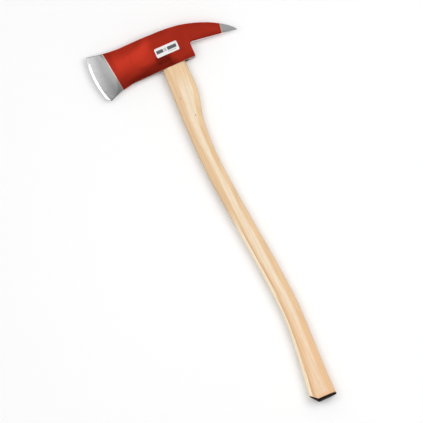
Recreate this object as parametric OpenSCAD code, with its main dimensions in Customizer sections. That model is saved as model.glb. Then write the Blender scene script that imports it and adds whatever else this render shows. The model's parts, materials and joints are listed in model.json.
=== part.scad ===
// Pick-head fire axe, lying on one cheek of its head.
// +Y runs up the handle into the head, -X points to the cutting edge, +X to the pick, +Z up.
// The origin is on the resting cheek, under the middle of the eye.

/* [Head] */
// Height of the head along the handle, at the eye
eye_h = 85; // [80:1:90]
// Thickness of the head across its cheeks
cheek_w = 36; // [34:0.5:40]
// Reach of the cutting edge from the handle's centre line
bit_reach = 181; // [172:1:190]
// Height of the cutting edge's upper corner above the eye's middle
toe_y = 57; // [54:0.5:61]
// Depth of the cutting edge's lower corner below the eye's middle
heel_y = 58.5; // [52:0.5:60]
// Distance from the eye's middle to the flat wall behind it
poll_x = 51.5; // [49:0.5:55]
// Thickness of the coat of enamel
skin = 0.2; // [0.2:0.05:0.4]

/* [Pick] */
// Reach of the pick's point from the handle's centre line
pick_reach = 163; // [155:1:172]
// Depth of the pick's point below the eye's middle
tip_y = 22; // [18:0.5:26]
// Depth of the pick's underside below the eye's middle, at its root
root_y = 9; // [7:0.5:12]
// Radius in the corner under the pick
root_r = 5.5; // [4:0.5:7]

/* [Eye and wedges] */
// Length of the eye
eye_len = 66; // [62:1:68]
// Width of the eye
eye_w = 24; // [22:0.5:26]
// Gap behind the handle where it enters the eye
eye_gap = 8; // [6:0.5:9]
// Depth of the wooden wedge
wedge_d = 52; // [45:1:58]
// Thickness of the wooden wedge at the top
wedge_t = 5; // [4:0.5:6]
// Width of each steel wedge
steel_w = 17; // [14:0.5:19]
// Depth of each steel wedge
steel_d = 30; // [24:1:34]
// Thickness of each steel wedge at the top
steel_t = 3.5; // [3:0.25:4.5]

/* [Handle] */
// Length of the handle below the head
handle_len = 833; // [780:1:860]
// Depth of the dark sealer on the end grain
seal_d = 3; // [2:0.5:6]
// Slope of the cut across the handle's front lower corner
nip_slope = 1.15; // [0.6:0.05:1.2]

/* [Label] */
// Length of the label
label_len = 55; // [48:1:60]
// Height of the label
label_h = 22; // [18:1:26]
// Radius of the label's corners
label_r = 3; // [2:0.5:4]
// Thickness of the label
label_t = 0.2; // [0.2:0.05:0.4]

/* [Hidden] */
$fn = 96;
mid_z = cheek_w / 2;
top_y = eye_h / 2;
low_y = -eye_h / 2;
// Larger than the head, and a little above its top.
far = 400;
over = top_y + 5;

// The cutting edge is an arc about a centre behind the eye.
edge_c = [45, 12];
edge_r = bit_reach + edge_c[0];
// Half thickness of the edge itself, then the honed bevel's width and half thickness.
edge_t = 0.25;
hone_w = 4.5;
hone_t = 1.6;
// Half thickness that the bit's faces reach at this radius from the arc's centre.
cone_r = 124;
cone_t = mid_z + 0.5;

function edge_at(y) = [edge_c[0] - sqrt(edge_r * edge_r - (y - edge_c[1]) * (y - edge_c[1])), y];

// Side view of the head, from the edge's upper corner along the top to the pick's point. Each
// curve leaves its two ends towards the pull between them.
toe = edge_at(toe_y);
toe_pull = [-142, top_y + 3.3];
neck = [-100, top_y + 1.9];
neck_pull = [-60, top_y + 2.2];
crest = [-20, top_y - 0.1];
crest_pull = [70, top_y];
nape = [pick_reach - 33, 28.2 - tip_y];
nape_pull = [pick_reach - 12, 17 - tip_y];
tip = [pick_reach, -tip_y];

// The same along the underside, from the pick's point to the edge's lower corner.
tip_low = tip + [-1.5, -1.3];
crook_pull = [109, low_y + 28];
root = [poll_x, -root_y];
beard = [-98, low_y];
beard_pull = [-132, low_y - 2];
// The edge's lower corner is rounded, from this height and over this length.
heel_rise = 11.5;
heel_run = 8;
edge_low = -heel_y + heel_rise;
heel_pull = edge_at(-heel_y);
heel = heel_pull + [heel_run, 0];

// Head seen from above, as distance and half thickness.
blade_front = [-200, 2];
blade_pull = [-95, 6.5];
blade_back = [-36, mid_z];
poll_start = [34, mid_z];
poll_pull = [48, mid_z];
pick_start = [64, 12.6];
pick_pull = [100, 8.4];
pick_end = [pick_reach + 1, 0.9];

// The cheeks slope away above and below these heights, by a drop over a reach.
flat_top = top_y - 14;
flat_low = low_y + 12;
slope_reach = 40;
slope_drop = 10;

// Where the enamel stops, as the line's upper and lower ends in side view.
bit_line = [[-141.4, 60], [-126.2, -60]];
pick_line = [[139.3, 60], [120.8, -60]];

// The eye, its tongue of wood and the wedges.
eye_x = [-31, eye_len - 31];
fit_gap = 0.1;
steel_x = [-13, 16];
steel_skew = 20;
// Half thickness of the wooden and the steel wedges at their points.
wood_point = 0.5;
steel_point = 0.4;
// How far the handle's own section reaches into the eye.
handle_in = 3;

// Handle stations, listed from the head down:
// distance below the head, front edge, rear edge, half thickness, front and rear facet widths.
STATIONS = [
    [-3, -29.3, 25.8, 11.6, 10, 8],
    [20, -30.8, 26, 12.4, 15, 8],
    [62, -32.2, 26.4, 13.6, 18, 10],
    [88, -33.2, 22.6, 13.8, 16, 12],
    [125, -34.6, 12.8, 13.6, 14, 12],
    [165, -35.2, 7.4, 13.2, 14, 13],
    [220, -35.3, 5.2, 12.8, 17, 10.5],
    [290, -32.4, 8.2, 12.5, 16, 10],
    [430, -21.4, 20.6, 12.5, 13.5, 12.5],
    [510, -15, 28, 12.5, 14.5, 13.5],
    [600, -9.8, 33.6, 12.5, 19.5, 13.5],
    [640, -10.2, 33.6, 12.7, 20, 14],
    [700, -15, 31.4, 13.2, 20.5, 14.5],
    [760, -23, 29.2, 14, 20, 16],
    [805, -29.2, 28.6, 14.5, 18, 15],
    [833, -29.8, 28.6, 14.5, 12.5, 14],
];
// Share of the half thickness that the flat front and rear faces take.
side_flat = 0.42;
// Share of each facet that the eased corners take.
arris = 0.14;
ring_step = 13;
// The section's point, and its distance past the corner, where the cut across the end starts.
fold = 4;
fold_gap = 1;
nip_start = handle_len - 45;

label_at = [-2.7, -3.6];

// Points of a parabola from a to b that leaves both along lines through c, without point a.
function bow(a, c, b, n = 8) =
    [for (i = [1:n]) let (t = i / n) (1 - t) * (1 - t) * a + 2 * t * (1 - t) * c + t * t * b];

// Points of an arc about c.
function arc(c, r, a0, a1, n = 6) =
    [for (i = [0:n]) let (a = a0 + (a1 - a0) * i / n) c + r * [cos(a), sin(a)]];

function moved(points, by) = [for (p = points) p + by];

function brow() = concat(
    [toe],
    bow(toe, toe_pull, neck),
    bow(neck, neck_pull, crest, 6),
    bow(crest, crest_pull, nape, 12),
    bow(nape, nape_pull, tip, 6)
);

function belly() = concat(
    [tip_low],
    bow(tip_low, crook_pull, root + [root_r + 2, 0], 6),
    arc(root + [root_r, -root_r], root_r, 90, 180),
    [[poll_x, low_y], beard],
    bow(beard, beard_pull, heel),
    bow(heel, heel_pull, edge_at(edge_low)),
    [for (i = [1:9]) edge_at(edge_low + (toe_y - edge_low) * i / 10)]
);

// The head's outline in side view. The steel under the enamel stops one skin lower on top, and
// reaches past the bare underside so that no enamel is left there.
module side_view(inset, past) {
    translate([0, 0, -far / 2])
        linear_extrude(far)
            polygon(concat(moved(brow(), [0, -inset]), moved(belly(), [past, -past])));
}

function half_plan(inset) = concat(
    moved(concat(
        [blade_front],
        bow(blade_front, blade_pull, blade_back, 10),
        [poll_start],
        bow(poll_start, poll_pull, pick_start, 6),
        bow(pick_start, pick_pull, pick_end)
    ), [0, -inset]),
    [[far / 2, pick_end[1]]]
);

module top_view(inset) {
    outline = half_plan(inset);
    mirrored = [for (i = [len(outline) - 1:-1:0]) [outline[i][0], -outline[i][1]]];
    rotate([90, 0, 0])
        translate([0, 0, -far / 2])
            linear_extrude(far)
                polygon(concat(outline, mirrored));
}

// The bit's two faces, with the honed bevel along the curved edge.
module bit_wedge(inset) {
    half = [[0, cone_t - inset], [cone_r, cone_t - inset], [edge_r - hone_w, hone_t - inset]];
    rim = [[edge_r, edge_t], [edge_r, -edge_t]];
    lower = [for (i = [2:-1:0]) [half[i][0], -half[i][1]]];
    translate([edge_c[0], edge_c[1], 0])
        rotate_extrude($fn = 180)
            polygon(concat(half, rim, lower));
}

// The cheeks are flat in the middle and slope away to the head's upper and lower edges.
module end_view(inset) {
    h = mid_z - inset;
    outline = [
        [flat_low - slope_reach, h - slope_drop],
        [flat_low, h],
        [flat_top, h],
        [flat_top + slope_reach, h - slope_drop]
    ];
    mirrored = [for (i = [3:-1:0]) [outline[i][0], -outline[i][1]]];
    rotate([0, 90, 0])
        rotate([0, 0, 90])
            translate([0, 0, -far / 2])
                linear_extrude(far)
                    polygon(concat(outline, mirrored));
}

module head_form(inset, past) {
    intersection() {
        side_view(inset, past);
        top_view(inset);
        bit_wedge(inset);
        end_view(inset);
    }
}

// An oval bar along Y with round ends.
module oval_bar(x0, x1, r, y0, y1) {
    rotate([90, 0, 0])
        translate([0, 0, -y1])
            linear_extrude(y1 - y0) {
                translate([x0 + r, -r])
                    square([x1 - x0 - 2 * r, 2 * r]);
                translate([x0 + r, 0])
                    circle(r);
                translate([x1 - r, 0])
                    circle(r);
            }
}

module eye() {
    oval_bar(eye_x[0], eye_x[1], eye_w / 2, -far / 4, far / 4);
}

// The painted length of the head, between the two slanting lines.
module paint_zone() {
    translate([0, 0, -far / 2])
        linear_extrude(far)
            polygon([bit_line[0], bit_line[1], pick_line[1], pick_line[0]]);
}

module axe_head() {
    color("silver")
        translate([0, 0, mid_z])
            difference() {
                head_form(0, 0);
                difference() {
                    paint_zone();
                    head_form(skin, 2);
                }
                eye();
            }
}

module head_enamel() {
    color("firebrick")
        translate([0, 0, mid_z])
            difference() {
                intersection() {
                    head_form(0, 0);
                    paint_zone();
                }
                head_form(skin, 2);
                eye();
            }
}

// Value of a handle column at distance d below the head: a cubic through the stations.
function slope(i, k) =
    let (a = max(i - 1, 0), b = min(i + 1, len(STATIONS) - 1))
    (STATIONS[b][k] - STATIONS[a][k]) / (STATIONS[b][0] - STATIONS[a][0]);
function span(d, i = 0) = i >= len(STATIONS) - 2 || d < STATIONS[i + 1][0] ? i : span(d, i + 1);
function column(d, k) =
    let (
        i = span(d),
        w = STATIONS[i + 1][0] - STATIONS[i][0],
        t = (d - STATIONS[i][0]) / w,
        a = STATIONS[i][k],
        b = STATIONS[i + 1][k]
    )
    a + (b - a) * t * t * (3 - 2 * t)
      + w * t * (1 - t) * ((1 - t) * slope(i, k) - t * slope(i + 1, k));

// Half ring of the handle's eight-sided section, from front to rear over the top, with each
// corner eased by a short flat. The middle point is where the cut across the end's corner starts.
function half_ring(f, r, h, cf, cr) =
    let (s = h * side_flat)
    [
        [f, s - (h - s) * arris * 2], [f + cf * arris, s + (h - s) * arris],
        [f + cf * (1 - arris), h - (h - s) * arris], [f + cf * (1 + arris), h],
        [f + cf * (1 + arris) + fold_gap, h],
        [r - cr * (1 + arris), h], [r - cr * (1 - arris), h - (h - s) * arris],
        [r - cr * arris, s + (h - s) * arris], [r, s - (h - s) * arris * 2]
    ];

function whole_ring(top) =
    concat(top, [for (i = [len(top) - 1:-1:0]) [top[i][0], -top[i][1]]]);

function nip_share(d) = pow(min(max((d - nip_start) / (handle_len - nip_start), 0), 1), 2);

function ring(d) =
    let (
        e = d * STATIONS[len(STATIONS) - 1][0] / handle_len,
        flat = whole_ring(half_ring(column(e, 1), column(e, 2), column(e, 3),
                                    column(e, 4), column(e, 5))),
        fold_x = flat[fold][0],
        lift = nip_slope * nip_share(d)
    )
    [for (p = flat) [p[0], low_y - d + lift * max(0, fold_x - p[0]), p[1]]];

// Solid through a list of rings. A ring at the handle's end folds along its middle points, so
// each end of the solid closes with one face on each side of the fold.
module loft(rings) {
    n = len(rings[0]);
    m = len(rings);
    points = [for (r = rings) each r];
    walls = [
        for (j = [0:m - 2], i = [0:n - 1])
            let (a = j * n + i, b = j * n + (i + 1) % n)
                each [[a, b, b + n], [a, b + n, a + n]]
    ];
    rear = [for (i = [fold:n - 1 - fold]) i];
    front = concat([for (i = [n - 1 - fold:n - 1]) i], [for (i = [0:fold]) i]);
    start_caps = [for (cap = [rear, front]) [for (i = [len(cap) - 1:-1:0]) cap[i]]];
    end_caps = [for (cap = [rear, front]) [for (i = cap) (m - 1) * n + i]];
    polyhedron(points, concat(walls, start_caps, end_caps), convexity = 6);
}

// The handle's outer shape between two distances below the head.
module handle_run(d0, d1) {
    steps = ceil((d1 - d0) / ring_step);
    loft([for (i = [0:steps]) ring(d0 + (d1 - d0) * i / steps)]);
}

// Room for the wood in the eye: tight in front, with a gap that closes upwards behind.
module tongue() {
    rear = eye_x[1] - fit_gap;
    intersection() {
        difference() {
            oval_bar(eye_x[0] + fit_gap, rear, eye_w / 2 - fit_gap, low_y + 1, far / 4);
            translate([0, 0, -eye_w])
                linear_extrude(2 * eye_w)
                    polygon([[rear - eye_gap, low_y], [rear, top_y - wedge_d / 2],
                             [far, top_y - wedge_d / 2], [far, low_y]]);
        }
        side_view(0, 0);
    }
}

// A wedge along X, as wide as the eye is long, that tapers downwards.
module long_wedge(gap) {
    deep = top_y - wedge_d - gap;
    half_t = wedge_t / 2 + gap;
    point_t = wood_point + gap;
    rotate([90, 0, 90])
        translate([0, 0, -far / 4])
            linear_extrude(far / 2)
                polygon([[deep, -point_t], [over, -half_t], [over, half_t], [deep, point_t]]);
}

// A steel wedge across the wooden one.
module cross_wedge(x, gap) {
    deep = top_y - steel_d - gap;
    half_t = steel_t / 2 + gap;
    point_t = steel_point + gap;
    translate([x, 0, 0])
        rotate([0, steel_skew, 0])
            translate([0, 0, -steel_w / 2 - gap])
                linear_extrude(steel_w + 2 * gap)
                    polygon([[-point_t, deep], [point_t, deep], [half_t, over], [-half_t, over]]);
}

module handle() {
    color("burlywood")
        translate([0, 0, mid_z])
            difference() {
                union() {
                    tongue();
                    handle_run(-handle_in, handle_len - seal_d);
                }
                long_wedge(fit_gap);
                for (x = steel_x)
                    cross_wedge(x, fit_gap);
            }
}

module wooden_wedge() {
    color("peru")
        translate([0, 0, mid_z])
            difference() {
                intersection() {
                    long_wedge(0);
                    tongue();
                }
                for (x = steel_x)
                    cross_wedge(x, fit_gap);
            }
}

module steel_wedge(x) {
    color("gray")
        translate([0, 0, mid_z])
            intersection() {
                cross_wedge(x, 0);
                side_view(0, 0);
            }
}

module steel_wedge_front() {
    steel_wedge(steel_x[0]);
}

module steel_wedge_rear() {
    steel_wedge(steel_x[1]);
}

module end_seal() {
    color("#2a1208")
        translate([0, 0, mid_z])
            loft([ring(handle_len - seal_d), ring(handle_len)]);
}

module label() {
    color("white")
        translate([label_at[0] - label_len / 2, label_at[1] - label_h / 2, cheek_w])
            linear_extrude(label_t) {
                translate([label_r, 0])
                    square([label_len - 2 * label_r, label_h]);
                translate([0, label_r])
                    square([label_len, label_h - 2 * label_r]);
                for (x = [label_r, label_len - label_r], y = [label_r, label_h - label_r])
                    translate([x, y])
                        circle(label_r);
            }
}

axe_head();
head_enamel();
handle();
wooden_wedge();
steel_wedge_front();
steel_wedge_rear();
end_seal();
label();
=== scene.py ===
"""Looks of a pick-head fire axe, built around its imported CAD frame."""
import json
import math

import bmesh
import bpy
import numpy as np
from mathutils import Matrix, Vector


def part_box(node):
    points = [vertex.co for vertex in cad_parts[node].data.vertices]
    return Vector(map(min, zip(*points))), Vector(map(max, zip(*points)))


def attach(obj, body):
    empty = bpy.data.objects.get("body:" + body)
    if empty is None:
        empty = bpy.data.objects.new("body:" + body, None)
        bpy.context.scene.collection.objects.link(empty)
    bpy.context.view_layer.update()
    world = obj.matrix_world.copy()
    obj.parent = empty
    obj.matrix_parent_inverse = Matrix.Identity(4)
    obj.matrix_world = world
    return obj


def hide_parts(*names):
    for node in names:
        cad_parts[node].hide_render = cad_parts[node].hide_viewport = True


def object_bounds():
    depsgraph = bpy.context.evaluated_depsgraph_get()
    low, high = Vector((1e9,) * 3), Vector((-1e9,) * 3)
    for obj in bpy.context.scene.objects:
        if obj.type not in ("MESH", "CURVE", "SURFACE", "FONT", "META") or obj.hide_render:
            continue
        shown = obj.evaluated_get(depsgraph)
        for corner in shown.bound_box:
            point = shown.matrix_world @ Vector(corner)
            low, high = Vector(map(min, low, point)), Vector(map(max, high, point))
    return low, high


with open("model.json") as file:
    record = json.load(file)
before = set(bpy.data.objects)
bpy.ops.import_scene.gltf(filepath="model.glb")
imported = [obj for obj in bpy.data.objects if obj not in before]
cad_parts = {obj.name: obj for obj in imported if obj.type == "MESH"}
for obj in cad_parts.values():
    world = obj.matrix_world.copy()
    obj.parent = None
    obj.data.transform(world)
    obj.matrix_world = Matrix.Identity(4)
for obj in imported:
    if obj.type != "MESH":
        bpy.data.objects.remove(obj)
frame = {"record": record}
cad_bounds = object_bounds()

# ---------------------------------------------------------------- sizes from the frame, in mm
MM = 0.001
MOUNTS = {m["name"]: m for m in frame["record"]["mounts"]}


def box_mm(node):
    low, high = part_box(node)
    return np.array(low) / MM, np.array(high) / MM


HEAD_LOW, HEAD_HIGH = box_mm("axe_head")
COAT_LOW, COAT_HIGH = box_mm("head_enamel")
SEAL_LOW = box_mm("end_seal")[0]
LABEL_LOW, LABEL_HIGH = box_mm("label")
LOW_Y = MOUNTS["hook_seat_front"]["pos_m"][1] / MM
TOP_Y = -LOW_Y
MID_Z = (COAT_LOW[2] + COAT_HIGH[2]) / 2
CHEEK = (COAT_HIGH[2] - COAT_LOW[2]) / 2
TOE_Y = HEAD_HIGH[1]
HEEL_Y = HEAD_LOW[1]
HANDLE_LEN = LOW_Y - SEAL_LOW[1]

# ---------------------------------------------------------------- shape of the head, in mm
# The steel lies this far inside the CAD head, and the enamel fills the difference.
SKIN = 0.22
COAT_SINK = 0.05
# How far the enamel's face stands above the steel.
COAT_T = SKIN - 0.01

EDGE_C = np.array([45.0, 12.0])
EDGE_R = EDGE_C[0] - HEAD_LOW[0]
TIP = np.array([HEAD_HIGH[0], -22.0])
TIP_LOW = TIP + [-1.5, -1.3]
NECK = np.array([-100.0, TOP_Y + 1.9])
CREST = np.array([-20.0, TOP_Y - 0.1])
NAPE = np.array([TIP[0] - 33, TIP[1] + 28.2])
BEARD_END = np.array([-98.0, LOW_Y])
POLL_X = 51.5
ROOT_Y = -9.0
ROOT_R = 5.5
WALL_Y = ROOT_Y - ROOT_R

# Where the enamel stops: x at the head's upper and lower edge, and on the underside.
BIT_LINE = (-139.2, -128.3)
PICK_LINE = (131.2, 127.0)
UNDER_PAINT = -112.0


def bow(a, c, b, n=24):
    """Points of a parabola from a to b that leaves both along lines through c."""
    t = np.linspace(0, 1, n + 1)[:, None]
    a, c, b = (np.array(p, float) for p in (a, c, b))
    return (1 - t) ** 2 * a + 2 * t * (1 - t) * c + t * t * b


def edge_at(y):
    return np.array([EDGE_C[0] - math.sqrt(EDGE_R**2 - (y - EDGE_C[1]) ** 2), y])


# The heel's corner is rounded: it starts this far up the edge and ends this far behind it.
HEEL_RISE = 11.5
HEEL_RUN = 8
TOE = edge_at(TOE_Y)
EDGE_END = edge_at(HEEL_Y + HEEL_RISE)
HEEL = edge_at(HEEL_Y) + [HEEL_RUN, 0]

BROW = np.concatenate([
    bow(TOE, [-142, TOP_Y + 3.3], NECK),
    bow(NECK, [-60, TOP_Y + 2.2], CREST)[1:],
    bow(CREST, [70, TOP_Y], NAPE)[1:],
    bow(NAPE, NAPE + [21, -11.2], TIP)[1:],
])
BELLY = np.concatenate([
    bow(EDGE_END, edge_at(HEEL_Y), HEEL),
    bow(HEEL, [-132, LOW_Y - 2], BEARD_END)[1:],
    [[POLL_X, LOW_Y]],
])
ROOT_TURN = np.radians(np.linspace(0, 90, 13))
CROOK = np.concatenate([
    np.column_stack([POLL_X + ROOT_R * (1 - np.cos(ROOT_TURN)), WALL_Y + ROOT_R * np.sin(ROOT_TURN)]),
    bow([POLL_X + ROOT_R + 2, ROOT_Y], [109, LOW_Y + 28], TIP_LOW),
])
PLAN = np.concatenate([
    bow([-200, 1.6], [-100, 9.5], [-36, CHEEK]),
    bow([40, CHEEK], [52, CHEEK], [66, 12.3]),
    bow([66, 12.3], [100, 8.4], [TIP[0] + 1, 0.9])[1:],
])

# The plan's corners are forged soft: each value is an average over its neighbourhood.
PLAN_SOFT = 17.0
PLAN_X = np.linspace(-200, TIP[0] + 1, 400)
NEAR = np.exp(-(((PLAN_X[:, None] - PLAN_X) / PLAN_SOFT) ** 2))
PLAN = np.column_stack([PLAN_X, NEAR @ np.interp(PLAN_X, PLAN[:, 0], PLAN[:, 1]) / NEAR.sum(1)])

# The cheeks' crown along x: its middle line, half its height, and how much it loses at the edges.
CROWN = np.array([
    [-150, 2, 50, 0.12], [-125, 2, 47, 0.50], [-100, 1, 44, 0.54], [-80, 0.5, 43, 0.44],
    [-62, 0, 42.5, 0.30], [-46, 0, 42.5, 0.19], [-32, 0, 42.5, 0.12], [-10, 0, 42.5, 0.08],
    [34, 0, 42.5, 0.07], [60, 8, 30, 0.09], [80, 9, 22, 0.16], [105, 3, 18, 0.22],
    [130, -6, 13, 0.2], [150, -16, 9, 0.12], [163, -23.5, 6, 0.1],
])
CROWN_POWER = 2.3
# Below this line the cheeks lean in towards the underside.
LEAN_LINE = np.array([
    [-125, -50], [-92, -38], [-62, -28], [-34, -22], [-2, -21], [6, -32], [14, -35], [52, -35],
])
LEAN = 0.18
LEAN_SOFT = 1.8
# The lean fades out over this distance behind the eye's wall.
LEAN_FADE = 8
# The honed bevel's width and half thickness, the edge's half thickness and the slope behind the bevel.
HONE_W = 4.9
HONE_T = 1.45
EDGE_T = 0.12
BIT_SLOPE = 0.13


def along(table, x, k):
    return np.interp(x, table[:, 0], table[:, k])


def half_thickness(x, y):
    """Half thickness of the steel head at points of its side view."""
    off = np.minimum(np.abs((y - along(CROWN, x, 1)) / along(CROWN, x, 2)), 1.25)
    body = along(PLAN, x, 1) * (1 - along(CROWN, x, 3) * off**CROWN_POWER)
    lean = LEAN * LEAN_SOFT * np.logaddexp(0, (along(LEAN_LINE, x, 1) - y) / LEAN_SOFT)
    body = body - lean * np.clip((POLL_X + LEAN_FADE - x) / LEAN_FADE, 0, 1) - SKIN
    depth = EDGE_R - np.hypot(x - EDGE_C[0], y - EDGE_C[1])
    hone = EDGE_T + (HONE_T - EDGE_T) * np.clip(depth / HONE_W, 0, 1)
    return np.minimum(body, hone + BIT_SLOPE * np.maximum(depth - HONE_W, 0))


# ---------------------------------------------------------------- mesh helpers
def finish_mesh(mesh, sharp_deg):
    mesh.shade_smooth()
    mesh.set_sharp_from_angle(angle=math.radians(sharp_deg))


def new_object(name, points, faces, sharp_deg=32):
    mesh = bpy.data.meshes.new(name)
    mesh.from_pydata((np.asarray(points, float) * MM).tolist(), [], [list(map(int, f)) for f in faces])
    mesh.validate()
    finish_mesh(mesh, sharp_deg)
    obj = bpy.data.objects.new(name, mesh)
    bpy.context.scene.collection.objects.link(obj)
    return obj


def apply_modifiers(obj, sharp_deg=32):
    bpy.context.view_layer.update()
    mesh = bpy.data.meshes.new_from_object(obj.evaluated_get(bpy.context.evaluated_depsgraph_get()))
    obj.modifiers.clear()
    obj.data = mesh
    mesh.name = obj.name
    finish_mesh(mesh, sharp_deg)


def carve(obj, cutters, sharp_deg=32):
    """Takes the cutters' space out of obj."""
    for cutter in cutters:
        mod = obj.modifiers.new("carve", "BOOLEAN")
        mod.operation = "DIFFERENCE"
        mod.solver = "EXACT"
        mod.object = cutter
    apply_modifiers(obj, sharp_deg)


def drop(*objs):
    for obj in objs:
        bpy.data.objects.remove(obj)


def tube_faces(n_rings, n, first_cap=True, last_cap=True):
    """Faces of a tube through rings of n points."""
    faces = []
    for j in range(n_rings - 1):
        for i in range(n):
            k = (i + 1) % n
            faces.append((j * n + i, (j + 1) * n + i, (j + 1) * n + k, j * n + k))
    if first_cap:
        faces.append(tuple(range(n)))
    if last_cap:
        faces.append(tuple((n_rings - 1) * n + i for i in range(n - 1, -1, -1)))
    return faces


def outward(obj):
    """Turns the faces of a closed mesh outward."""
    bm = bmesh.new()
    bm.from_mesh(obj.data)
    bmesh.ops.recalc_face_normals(bm, faces=bm.faces)
    bm.to_mesh(obj.data)
    bm.free()


def piece(obj, material, nodes=()):
    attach(obj, "root")
    if nodes:
        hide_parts(*nodes)
    obj.data.materials.clear()
    obj.data.materials.append(material)


# ---------------------------------------------------------------- head mesh
FACE_N = 4
ARRIS_N = 4
LOWER_N = 14
UPPER_N = 26
CREST_N = 5
TOP_N = 6
LOW_ARRIS = 1.2
TOP_ARRIS = 1.4
WALL_ROUND = 1.2
# The pick's first loop stands this far behind the wall's at the top, so that they never share a place.
WALL_STEP = 1.2


def half_loop(x_top, x_low, sag=0.0, pick=False, inset=0.0):
    """One side of a loop round the head, from the middle of its lower face to the middle of its top.

    It runs from the lower outline at x_low to the upper one at x_top, bowed towards the edge by
    sag. On the pick, the points that the wall behind the eye uses lie across the underside
    instead. inset draws the lower part in, to round the wall's edges."""
    low = np.array([x_low, along(CROOK, x_low, 1) if pick else along(BELLY, x_low, 1) + inset])
    top = np.array([x_top, along(BROW, x_top, 1) - SKIN])
    length = np.linalg.norm(top - low)
    way = (top - low) / length
    out = np.array([-way[1], way[0]])

    def place(q):
        v = np.clip(np.asarray(q) / length, 0, 1)
        return low + np.outer(q, way) + np.outer(4 * v * (1 - v) * sag, out)

    def thick(q):
        at = place(q)
        return half_thickness(at[:, 0], at[:, 1])

    edge_h = thick([0.0])[0]
    radius = min(LOW_ARRIS, 0.5 * edge_h, 0.2 * length)
    crest_r = min(TOP_ARRIS, 0.7 * thick([length])[0], 0.25 * length)
    face_h = thick([radius])[0] - (0 if pick else inset)
    turn = np.radians(np.linspace(0, 90, ARRIS_N + 1))
    face_n = FACE_N + (LOWER_N if pick else 0)
    qs = [np.zeros(face_n), radius * (1 - np.cos(turn))]
    zs = [np.linspace(0, face_h - radius, face_n, endpoint=False), face_h - radius * (1 - np.sin(turn))]
    start = radius
    if not pick:
        level = np.clip((WALL_Y + 0.5 - low[1]) / length, 0.02, 0.8) * length
        share = np.linspace(0, 1, LOWER_N + 1)[1:]
        q_low = radius + (level - radius) * share
        qs.append(q_low)
        zs.append(thick(q_low) - inset * np.minimum((1 - share) * 4, 1))
        start = level
    q_up = np.linspace(start, length - crest_r, UPPER_N + 1)[1:]
    qs.append(q_up)
    zs.append(thick(q_up))
    crest_h = zs[-1][-1]
    turn = np.radians(np.linspace(0, 90, CREST_N + 1))[1:]
    qs.append(length - crest_r * (1 - np.sin(turn)))
    zs.append(crest_h - crest_r * (1 - np.cos(turn)))
    qs.append(np.full(TOP_N, length))
    zs.append(np.linspace(crest_h - crest_r, 0, TOP_N + 1)[1:])
    return np.column_stack([place(np.concatenate(qs)), np.concatenate(zs)])


# Depths of the bit's first loops inside the cutting edge, close together at the bevel's crease.
EDGE_DEPTHS = [0, 0.6, 2.2, HONE_W - 0.5, HONE_W - 0.06, HONE_W + 0.06, HONE_W + 0.5, 7]
# Only the outlines in front of this x meet the arcs of those loops.
BIT_ONLY = -125


def slide(a, b, f):
    return a + (b - a) * f


def arc_column(depth):
    """The loop that lies depth inside the cutting edge, on an arc about the same centre."""
    radius = EDGE_R - depth
    xs, ends = [], []
    for outline, drop_by in ((BROW, SKIN), (BELLY, 0)):
        near = outline[outline[:, 0] < BIT_ONLY] - [0, drop_by]
        reach = np.hypot(*(near - EDGE_C).T)
        xs.append(np.interp(-radius, -reach, near[:, 0]))
        ends.append([xs[-1], np.interp(-radius, -reach, near[:, 1])])
    half_chord = np.linalg.norm(np.subtract(*ends)) / 2
    return dict(x_top=xs[0], x_low=xs[1], sag=radius - math.sqrt(radius**2 - half_chord**2))


def head_columns():
    """The head's loops from the cutting edge to the pick's point, with the two paint lines' places."""
    columns = []
    for depth in EDGE_DEPTHS:
        columns.append(arc_column(depth))
    last = columns[-1]
    for f in [0.08, 0.17, 0.27, 0.37, 0.47, 0.57, 0.67, 0.78, 0.89, 0.97, 1]:
        x_top, x_low = slide(last["x_top"], BIT_LINE[0], f), slide(last["x_low"], BIT_LINE[1], f)
        columns.append(dict(x_top=x_top, x_low=x_low, sag=last["sag"] * (1 - f)))
    bit_line = len(columns) - 1
    for f in np.linspace(0, 1, 14)[1:]:
        columns.append(dict(x_top=slide(BIT_LINE[0], -100, f), x_low=slide(BIT_LINE[1], -100, f)))
    for x in np.linspace(-100, POLL_X - WALL_ROUND, 64)[1:]:
        columns.append(dict(x_top=x, x_low=x))
    for a in np.radians([30, 60, 90]):
        x = POLL_X - WALL_ROUND * (1 - math.sin(a))
        columns.append(dict(x_top=x, x_low=x, inset=WALL_ROUND * (1 - math.cos(a))))
    for a in np.radians([0, 18, 36, 54, 72, 90]):
        x = POLL_X + ROOT_R * (1 - math.cos(a))
        columns.append(dict(x_top=x + WALL_STEP, x_low=x, pick=True))
    root = POLL_X + ROOT_R
    for f in np.linspace(0, 1, 33)[1:]:
        x_top, x_low = slide(root + WALL_STEP, PICK_LINE[0], f), slide(root, PICK_LINE[1], f)
        columns.append(dict(x_top=x_top, x_low=x_low, pick=True))
    pick_line = len(columns) - 1
    for f in [0.03, 0.12, 0.25, 0.4, 0.55, 0.7, 0.82, 0.91, 0.97, 1]:
        x_top, x_low = slide(PICK_LINE[0], TIP[0], f), slide(PICK_LINE[1], TIP_LOW[0], f)
        columns.append(dict(x_top=x_top, x_low=x_low, pick=True))
    return columns, bit_line, pick_line


def make_rings(columns):
    rings = []
    for column in columns:
        half = half_loop(**column)
        ring = np.concatenate([half, half[-2:0:-1] * [1, 1, -1]])
        ring[:, 2] += MID_Z
        rings.append(ring)
    return np.array(rings)


EYE_X = (-31.0, 35.0)
EYE_R = 12.0
# The enamel stops this far outside the eye's rim.
EYE_COAT_GAP = 0.25


def oval(x0, x1, r, n_end=20):
    """Points (x, z) of an oval with round ends, from the middle of its top, over the rear end."""
    turn = np.radians(np.linspace(90, -90, n_end + 1))
    rear = np.column_stack([x1 - r + r * np.cos(turn), r * np.sin(turn)])
    front = np.column_stack([x0 + r - r * np.cos(turn), -r * np.sin(turn)])
    return np.concatenate([rear, front])


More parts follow.
